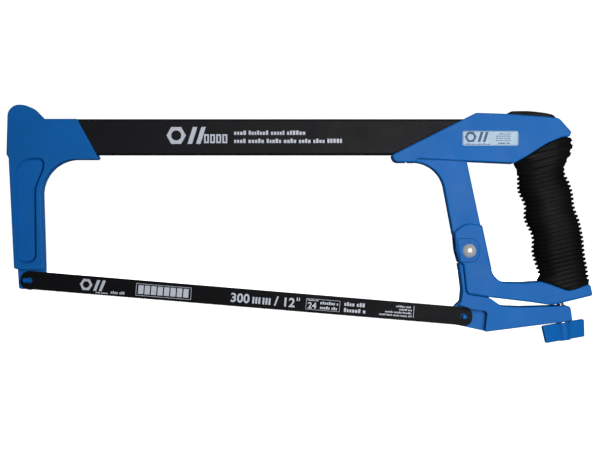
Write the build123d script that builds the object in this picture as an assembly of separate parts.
from build123d import *
from math import cos, radians, sin, tan
import os

# High-tension hacksaw, in millimetres. It stands upright, blade down: X runs along the back tube
# from the front arm to the handle, Y is its thickness, and Z is up from the wing nut's lowest point.
# The blade, the label and the pivot's domed head are on the -Y side.

# ---- driving dimensions ----
TUBE_FRONT, TUBE_REAR = -188.0, 148.0  # ends of the back tube, inside the two castings
TUBE_LOW, TUBE_HIGH = 128.6, 153.3
TUBE_WIDTH, TUBE_WALL, TUBE_CORNER = 10.0, 1.5, 1.8
SOCKET_GAP = 0.05  # clearance of the tube in its sockets

BLADE_PITCH, BLADE_SLOPE = 300.0, 4.76  # between pin centres; falls towards the handle, in degrees
BLADE_HEIGHT, BLADE_THICK, BLADE_END = 13.0, 0.65, 5.9
BLADE_HOLE, BLADE_PIN = 4.1, 3.3  # diameters
BLADE_BACK = -1.0  # y of the blade's inner face
SEAT_FACE = -0.9  # y of the recesses that the blade lies in
FRONT_LEAN, REAR_LEAN = 25.0, 8.0  # the blade pins lean away from each other, in degrees
FRONT_PIN_OUT, REAR_PIN_OUT = 6.8, 3.95  # lengths of the blade pins from the blade's mid-plane
PIN_IN = 8.4
FRONT_PIN = (-185.9, 42.4)

PIVOT = (116.0, 63.0)
PIVOT_SHANK, PIVOT_HEAD, PIVOT_DOME = 6.0, 9.4, 2.3
RUNNING = 0.05  # radial clearance of the lever on its pivot

SCREW_AT = (179.8, 26.0)  # where the tension screw leaves the lower bar
SCREW_TILT = 7.25  # its axis runs down and to the rear, in degrees from vertical
SCREW_SIZE = 5.0
LEVER_FACE = 11.75  # from SCREW_AT along the screw to the lever's lower face
WASHER_GAP, WASHER_THICK, WASHER_SIZE = 0.02, 0.8, 9.6
NUT_HUB, NUT_LENGTH, NUT_REACH, NUT_TURN = 9.0, 12.4, 16.8, 22.0

FRONT_HALF = 7.5  # half thicknesses of the front casting and of the handle casting's parts
HANDLE_HALF, ARM_HALF, CORE_HALF = 10.0, 6.5, 5.5
SLOT_HALF, TONGUE_HALF, LEVER_HALF = 4.7, 4.5, 9.0
GRIP_HALF = 15.0
CAST_ROUND = 1.2  # rounding along the castings' outlines


# ---- shared shapes ----
def plate(corners, y_low, y_high):
    """A flat piece between two y values. Each corner of its side outline is (x, z, radius)."""
    points = [(x, z) for x, z, radius in corners]
    radii = [radius for x, z, radius in corners]
    face = make_face(FilletPolyline(*points, radius=radii, close=True))
    return extrude(Plane.XZ.offset(-y_high) * face, amount=y_high - y_low, dir=(0, -1, 0))


def soft_plate(corners, half, rounding=CAST_ROUND):
    """A plate centred on y = 0 with both rims of its outline rounded."""
    solid = plate(corners, -half, half)
    rims = solid.edges().filter_by_position(Axis.Y, -half, -half)
    rims += solid.edges().filter_by_position(Axis.Y, half, half)
    return fillet(rims, rounding)


def cross_bar(at, diameter, y_low, y_high):
    """A round bar along Y through the point at = (x, z)."""
    middle = (y_low + y_high) / 2
    place = Pos(at[0], middle, at[1]) * Rot(X=90)
    return place * Cylinder(diameter / 2, y_high - y_low)


def along_screw(distance):
    """A frame on the tension screw's axis, this far below the lower bar, with +Z up the screw."""
    tilt = radians(SCREW_TILT)
    x = SCREW_AT[0] + distance * sin(tilt)
    z = SCREW_AT[1] - distance * cos(tilt)
    return Pos(x, 0, z) * Rot(Y=-SCREW_TILT)


def rear_pin_at():
    """The rear blade pin's centre, one blade pitch down the slope from the front pin."""
    slope = radians(BLADE_SLOPE)
    return (FRONT_PIN[0] + BLADE_PITCH * cos(slope), FRONT_PIN[1] - BLADE_PITCH * sin(slope))


def leaning_bar(at, side, diameter, inward, outward):
    """A bar through a blade hole. side is -1 for the front pin and 1 for the rear one."""
    slope = Rot(Y=BLADE_SLOPE)
    middle = BLADE_BACK - BLADE_THICK / 2
    lean = -FRONT_LEAN if side < 0 else REAR_LEAN
    frame = Pos(at[0], middle, at[1]) * slope * Rot(Z=lean) * Rot(X=90)
    length = inward + outward
    return frame * Pos(0, 0, (outward - inward) / 2) * Cylinder(diameter / 2, length)


# ---- back tube ----
def back_tube():
    height = TUBE_HIGH - TUBE_LOW
    outer = RectangleRounded(TUBE_WIDTH, height, TUBE_CORNER)
    inner = RectangleRounded(TUBE_WIDTH - 2 * TUBE_WALL, height - 2 * TUBE_WALL, 0.5)
    start = Plane(origin=(TUBE_FRONT, 0, (TUBE_LOW + TUBE_HIGH) / 2), x_dir=(0, 1, 0), z_dir=(1, 0, 0))
    tube = extrude(start * (outer - inner), amount=TUBE_REAR - TUBE_FRONT)
    return tube - pin_hole(FRONT_TUBE_PIN) - pin_hole(HANDLE_TUBE_PIN)


def tube_socket(x_low, x_high):
    """The space that the tube's end needs, with its clearance."""
    size = (x_high - x_low, TUBE_WIDTH + 2 * SOCKET_GAP, TUBE_HIGH - TUBE_LOW + 2 * SOCKET_GAP)
    return Pos((x_low + x_high) / 2, 0, (TUBE_LOW + TUBE_HIGH) / 2) * Box(*size)


# ---- roll pins that hold the tube, pressed in from below ----
ROLL_PIN, ROLL_BORE, ROLL_SLIT, ROLL_LENGTH = 3.0, 1.8, 0.7, 7.0
FRONT_TUBE_PIN = (-146.0, 125.6)  # x, and z of the pin's lower end
HANDLE_TUBE_PIN = (73.0, 123.2)


def pin_hole(pin):
    return Pos(pin[0], 0, pin[1] + ROLL_LENGTH / 2 - 1) * Cylinder(ROLL_PIN / 2, ROLL_LENGTH + 2)


def roll_pin(pin):
    ring = Cylinder(ROLL_PIN / 2, ROLL_LENGTH) - Cylinder(ROLL_BORE / 2, ROLL_LENGTH + 1)
    slit = Pos(ROLL_PIN / 2, 0, 0) * Box(ROLL_PIN, ROLL_SLIT, ROLL_LENGTH + 1)
    return Pos(pin[0], 0, pin[1] + ROLL_LENGTH / 2) * (ring - slit)


# ---- front casting ----
def front_casting():
    body = soft_plate(
        [
            (-199.3, 126.4, 2),
            (-200.8, 129.0, 2),
            (-199.9, 163.0, 8),
            (-185.3, 163.0, 14),
            (-176.0, TUBE_HIGH, 2),
            (-152.6, TUBE_HIGH, 1.3),
            (-137.2, 125.5, 1.3),
            (-177.8, 125.5, 24),
            (-175.1, 36.4, 2),
            (-193.4, 36.4, 2),
            (-194.2, 50.6, 0.3),
            (-195.6, 50.6, 1.1),
        ],
        FRONT_HALF,
        1.0,
    )
    body -= tube_socket(TUBE_FRONT - 0.2, -120)
    for side in (-1, 1):
        body -= finger_pocket(side)
    body -= plate([(-210, 50.3, 0), (-165, 50.3, 0), (-165, 30, 0), (-210, 30, 0)], -20, SEAT_FACE)
    body -= pin_hole(FRONT_TUBE_PIN)
    return body - leaning_bar(FRONT_PIN, -1, BLADE_PIN, PIN_IN, 10)


POCKET_DEPTH, POCKET_SLOPE = 3.0, 30.0


def finger_pocket(side):
    """The long sunk panel in the arm's face, wide under the tube and narrow down the arm."""
    corners = [
        (-195.6, 126.8, 12.5),
        (-174.2, 126.8, 4.5),
        (-174.8, 119.0, 6),
        (-180.3, 105.5, 14),
        (-179.8, 54.2, 6.3),
        (-193.9, 54.2, 6.3),
    ]
    points = [(x, z) for x, z, radius in corners]
    radii = [radius for x, z, radius in corners]
    mouth = make_face(FilletPolyline(*points, radius=radii, close=True))
    tool = extrude(Plane.XZ.offset(FRONT_HALF) * mouth, amount=POCKET_DEPTH, dir=(0, 1, 0), taper=POCKET_SLOPE)
    return tool if side < 0 else mirror(tool, about=Plane.XZ)


# ---- handle casting: housing, arm, fork, lower bar and the core inside the grip ----
GRIP_BORDER = [  # where the housing stops and the rubber begins, from the rear to the throat
    (184.5, 141.2),
    (179.2, 140.5),
    (169.3, 136.2),
    (155.5, 127.6),
    (146.6, 122.8),
]


def housing():
    border = [(x, z, 0) for x, z in GRIP_BORDER]
    return soft_plate(
        [
            (63.0, 128.4, 1.3),
            (64.8, 123.5, 4),
            (79.0, 123.5, 1.3),
            (81.2, 125.8, 1.3),
        ]
        + border[::-1]
        + [
            (185.8, 144.0, 1.2),
            (177.1, 153.8, 6),
            (140.0, 156.6, 20),
            (120.6, 157.2, 4),
        ],
        HANDLE_HALF,
        1.0,
    )


def handle_arm():
    return soft_plate(
        [
            (77.0, 127.0, 0),
            (77.0, 123.5, 0),
            (95.9, 123.5, 21.5),
            (105.2, 74.0, 0),
            (125.3, 74.0, 0),
            (114.6, 124.5, 0),
            (114.6, 127.0, 0),
        ],
        ARM_HALF,
        1.0,
    )


def fork_and_bar():
    """The fork round the lever and the lower bar, in one outline."""
    return soft_plate(
        [
            (105.7, 75.7, 1.5),
            (113.2, 82.2, 13),
            (124.7, 80.6, 2.0),
            (133.1, 41.5, 11),
            (152.0, 41.0, 25),
            (165.0, 41.9, 1.2),
            (171.0, 40.2, 3),
            (183.8, 35.6, 8),
            (198.7, 40.3, 1.5),
            (200.3, 32.4, 1.5),
            (172.5, 25.7, 16),
            (157.3, 27.9, 60),
            (130.0, 31.1, 12),
            (114.2, 33.6, 3.5),
            (112.0, 53.4, 0.9),
            (109.1, 55.2, 1.5),
            (106.9, 63.0, 20),
        ],
        HANDLE_HALF,
        1.3,
    )


def fork_slot():
    """The gap between the fork's cheeks, open to the front and below."""
    return plate(
        [
            (95.0, 71.9, 0),
            (125.7, 71.9, 8.6),
            (129.5, 44.0, 0),
            (134.0, 28.0, 0),
            (134.0, 18.0, 0),
            (95.0, 18.0, 0),
        ],
        -SLOT_HALF,
        SLOT_HALF,
    )


def pivot_boss(half):
    """The raised pad round the pivot, open to the front, with sloping edges."""
    pad = plate(
        [
            (107.4, 71.6, 1.2),
            (123.2, 71.6, 7.0),
            (123.2, 54.8, 7.0),
            (109.6, 55.0, 1.2),
        ],
        -half,
        half,
    )
    front_rim = pad.edges().filter_by_position(Axis.Y, -half, -half)
    back_rim = pad.edges().filter_by_position(Axis.Y, half, half)
    return chamfer(front_rim + back_rim, BOSS_SLOPE)


def grip_core(gap):
    """The casting's post inside the rubber, grown by gap for the rubber's own hole."""
    return plate(
        [
            (157.2 - gap, 141.0, 0),
            (171.5 - gap, 34.0, 0),
            (191.0 + gap, 34.0, 0),
            (177.3 + gap, 147.0, 0),
        ],
        -CORE_HALF - gap,
        CORE_HALF + gap,
    )


BOSS_RISE, BOSS_SLOPE, HEAD_RECESS = 0.8, 0.6, 0.6
HEAD_FACE = HANDLE_HALF + BOSS_RISE - HEAD_RECESS  # y of the face under each pivot head


def handle_casting():
    body = housing() + handle_arm() + fork_and_bar() + grip_core(0) + pivot_boss(HANDLE_HALF + BOSS_RISE)
    body -= fork_slot()
    body -= tube_socket(40, TUBE_REAR + 0.2)
    body -= cross_bar(PIVOT, PIVOT_SHANK, -30, 30)
    for side in (-1, 1):
        recess = Pos(PIVOT[0], side * (HEAD_FACE + 5), PIVOT[1]) * Rot(X=90)
        body -= recess * Cylinder(PIVOT_HEAD / 2 + 0.7, 10)
    body -= along_screw(-6) * Cylinder(SCREW_SIZE / 2, 14)
    body -= pin_hole(HANDLE_TUBE_PIN)
    return body - thumb_pad_shape(0.0)


# ---- tension lever ----
def tension_lever():
    gap = 0.35  # between the lever and the fork's edges
    foot = along_screw(LEVER_FACE)
    heel_rise = tan(radians(SCREW_TILT))
    face_x, face_z = foot.position.X, foot.position.Z
    front_x, rear_x = 127.6, 186.6
    body = soft_plate(
        [
            (109.0, 54.85, 0.5),
            (112.0 - gap, 53.2, 0.4),
            (114.2 - gap, 33.6 - gap, 3.8),
            (130.0, 31.1 - gap, 6),
            (138.2, 25.0, 12),
            (152.0, 24.4, 60),
            (170.0, 24.9, 60),
            (185.2, 25.3, 2.5),
            (rear_x, face_z + (rear_x - face_x) * heel_rise, 0.8),
            (front_x, face_z + (front_x - face_x) * heel_rise, 3),
            (105.6, 12.3, 3),
            (105.4, 22.0, 2),
            (107.6, 25.4, 1.5),
            (110.6, 28.0, 3),
            (111.4, 36.0, 14),
        ],
        LEVER_HALF,
        0.8,
    )
    body += plate(
        [
            (108.6, 71.4, 7),
            (125.3, 71.4, 8),
            (128.9, 44.0, 0),
            (130.0, 36.5, 0),
            (130.0, 25.0, 0),
            (116.0, 25.0, 0),
            (112.4, 42.0, 0),
            (110.0, 54.0, 0),
        ],
        -TONGUE_HALF,
        TONGUE_HALF,
    )
    body -= blade_seat()
    body -= cross_bar(PIVOT, PIVOT_SHANK + 2 * RUNNING, -30, 30)
    body -= screw_notch()
    return body - leaning_bar(rear_pin_at(), 1, BLADE_PIN, PIN_IN, 10)


def blade_seat():
    """The recess for the blade's rear end in the lever's -Y face."""
    return plate(
        [
            (95.0, 30.0, 0),
            (106.0, 27.4, 2),
            (117.6, 23.2, 6),
            (128.6, 21.6, 2.6),
            (126.6, 4.0, 0),
            (95.0, 4.0, 0),
        ],
        -20,
        SEAT_FACE,
    )


NOTCH_HALF = 2.9


def screw_notch():
    """The slot at the lever's end, open to the rear, that lets the lever swing off the screw."""
    round_end = along_screw(6) * Pos(-0.4, 0, 0) * Cylinder(NOTCH_HALF, 30)
    way_out = along_screw(6) * Pos(9.6, 0, 0) * Box(20, 2 * NOTCH_HALF, 30)
    return round_end + way_out


# ---- pivot: a shouldered pin and its cap, domed heads outside ----
def dome(diameter, height):
    """A domed head standing on z = 0."""
    radius = ((diameter / 2) ** 2 + height**2) / (2 * height)
    ball = Pos(0, 0, height - radius) * Sphere(radius)
    return ball & Pos(0, 0, height / 2) * Cylinder(diameter, height)


def pivot_bolt():
    shank = cross_bar(PIVOT, PIVOT_SHANK, -HEAD_FACE, HEAD_FACE - 3)
    thread = cross_bar(PIVOT, 4.0, HEAD_FACE - 3, HEAD_FACE + 1)
    head = Pos(PIVOT[0], -HEAD_FACE, PIVOT[1]) * Rot(X=90) * dome(PIVOT_HEAD, PIVOT_DOME)
    return shank + thread + head


def pivot_nut():
    cap = Pos(PIVOT[0], HEAD_FACE, PIVOT[1]) * Rot(X=-90) * dome(PIVOT_HEAD, PIVOT_DOME)
    sleeve = cross_bar(PIVOT, PIVOT_SHANK, HEAD_FACE - 3, HEAD_FACE)
    return cap + sleeve - cross_bar(PIVOT, 4.0, HEAD_FACE - 4, HEAD_FACE + 1)


# ---- blade and its pins ----
def blade():
    end = BLADE_PITCH / 2 + BLADE_END
    half = BLADE_HEIGHT / 2
    corners = [(-end, half, 5.8), (end, half, 5.8), (end, -half, 5.8), (-end, -half, 5.8)]
    flat = plate(corners, BLADE_BACK - BLADE_THICK, BLADE_BACK)
    for x in (-BLADE_PITCH / 2, BLADE_PITCH / 2):
        flat -= cross_bar((x, 0), BLADE_HOLE, -5, 5)
    rear = rear_pin_at()
    return Pos((FRONT_PIN[0] + rear[0]) / 2, 0, (FRONT_PIN[1] + rear[1]) / 2) * Rot(Y=BLADE_SLOPE) * flat


def blade_pin(at, side):
    outward = FRONT_PIN_OUT if side < 0 else REAR_PIN_OUT
    pin = leaning_bar(at, side, BLADE_PIN, PIN_IN, outward)
    tip = pin.edges().sort_by(Axis.Y)[0]
    return fillet(tip, 0.8)


# ---- tension screw, washer and wing nut ----
def tension_stud():
    """Screwed into the lower bar, and reaching down through the lever and most of the wing nut."""
    top, bottom = 13.0, LEVER_FACE + WASHER_THICK + NUT_LENGTH - 1.2
    rod = along_screw((bottom - top) / 2) * Cylinder(SCREW_SIZE / 2, top + bottom)
    return chamfer(rod.edges(), 0.5)


def thrust_washer():
    place = along_screw(LEVER_FACE + WASHER_GAP + WASHER_THICK / 2)
    disc = Cylinder(WASHER_SIZE / 2, WASHER_THICK) - Cylinder(SCREW_SIZE / 2 + 0.1, WASHER_THICK + 1)
    return place * disc


VANE_THICK, VANE_DROP = 3.4, 12.2


def wing_nut():
    """Hub and two vanes, built with the hub's upper face on z = 0 and moved onto the screw."""
    vane_side = [
        (-NUT_REACH, 0.0, 1.2),
        (NUT_REACH, 0.0, 1.2),
        (NUT_REACH - 1.4, -VANE_DROP, 1.2),
        (-NUT_REACH + 1.4, -VANE_DROP, 1.2),
    ]
    vanes = soft_plate(vane_side, VANE_THICK / 2, 0.8)
    hub = Pos(0, 0, -NUT_LENGTH / 2) * Cone(NUT_HUB / 2 - 0.5, NUT_HUB / 2, NUT_LENGTH)
    body = vanes + hub
    body -= Cylinder(SCREW_SIZE / 2 + 0.06, 3 * NUT_LENGTH)
    place = along_screw(LEVER_FACE + 2 * WASHER_GAP + WASHER_THICK)
    return place * Rot(Z=NUT_TURN) * body


# ---- rubber and trim ----
def grip_sleeve():
    """The rubber round the core: a hand-shaped side outline, full in the middle and slim at both ends."""
    side = plate(
        [(x, z, 0) for x, z in GRIP_BORDER]
        + [
            (150.3, 116.0, 3),
            (150.3, 104.0, 6),
            (155.0, 94.0, 6),
            (155.0, 83.0, 6),
            (160.4, 72.0, 8),
            (160.4, 60.0, 8),
            (165.2, 44.5, 3),
            (163.0, 41.8, 0.5),
            (171.0, 40.2, 3),
            (183.8, 35.6, 8),
            (199.9, 39.9, 0.5),
            (196.4, 60.0, 20),
            (193.4, 82.0, 20),
            (188.6, 95.0, 20),
            (186.4, 110.0, 10),
            (182.4, 121.0, 5),
            (187.8, 131.0, 4),
            (187.8, 138.5, 2),
        ],
        -GRIP_HALF,
        GRIP_HALF,
    )
    widths = [(144.0, 9.9), (126.0, 12.0), (100.0, 15.0), (75.0, 15.0), (50.0, 12.5), (30.0, 10.2)]
    edge = [(half, z) for z, half in widths]
    front_view = make_face(Polyline(*edge, *[(-half, z) for half, z in edge[::-1]], close=True))
    barrel = extrude(Plane.YZ.offset(140) * front_view, amount=70)
    rubber = (side & barrel) - grip_core(0.05) - housing() - fork_and_bar()
    return rubber.solids().sort_by(SortBy.VOLUME)[-1]


def thumb_pad_shape(gap):
    corners = [
        (142.2 - gap, 155.2 - gap, 0.3),
        (142.6 - gap, 158.7, 2.4),
        (158.0, 158.6, 30),
        (174.8 + gap, 155.8, 0.8),
        (176.2 + gap, 152.6 - gap, 0.3),
    ]
    return plate(corners, -8 - gap, 8 + gap)


def thumb_pad():
    pad = thumb_pad_shape(0.0)
    upper = pad.edges().filter_by_position(Axis.Z, 155.7, 160).filter_by_position(Axis.Y, -9, -7)
    upper += pad.edges().filter_by_position(Axis.Z, 155.7, 160).filter_by_position(Axis.Y, 7, 9)
    return fillet(upper, 0.9)


LABEL_SIZE, LABEL_THICK, LABEL_AT = (38.1, 10.0), 0.25, (130.3, 139.7)


def label():
    half_x, half_z = LABEL_SIZE[0] / 2, LABEL_SIZE[1] / 2
    corners = [(-half_x, -half_z, 1), (half_x, -half_z, 1), (half_x, half_z, 1), (-half_x, half_z, 1)]
    return Pos(LABEL_AT[0], 0, LABEL_AT[1]) * plate(corners, -HANDLE_HALF - LABEL_THICK, -HANDLE_HALF)


PARTS = {
    "back_tube": back_tube,
    "front_casting": front_casting,
    "handle_casting": handle_casting,
    "front_tube_pin": lambda: roll_pin(FRONT_TUBE_PIN),
    "handle_tube_pin": lambda: roll_pin(HANDLE_TUBE_PIN),
    "front_blade_pin": lambda: blade_pin(FRONT_PIN, -1),
    "rear_blade_pin": lambda: blade_pin(rear_pin_at(), 1),
    "blade": blade,
    "tension_lever": tension_lever,
    "pivot_bolt": pivot_bolt,
    "pivot_nut": pivot_nut,
    "tension_stud": tension_stud,
    "thrust_washer": thrust_washer,
    "wing_nut": wing_nut,
    "grip_sleeve": grip_sleeve,
    "thumb_pad": thumb_pad,
    "label": label,
}

os.makedirs("parts", exist_ok=True)
for name, make in PARTS.items():
    export_step(make(), f"parts/{name}.step")
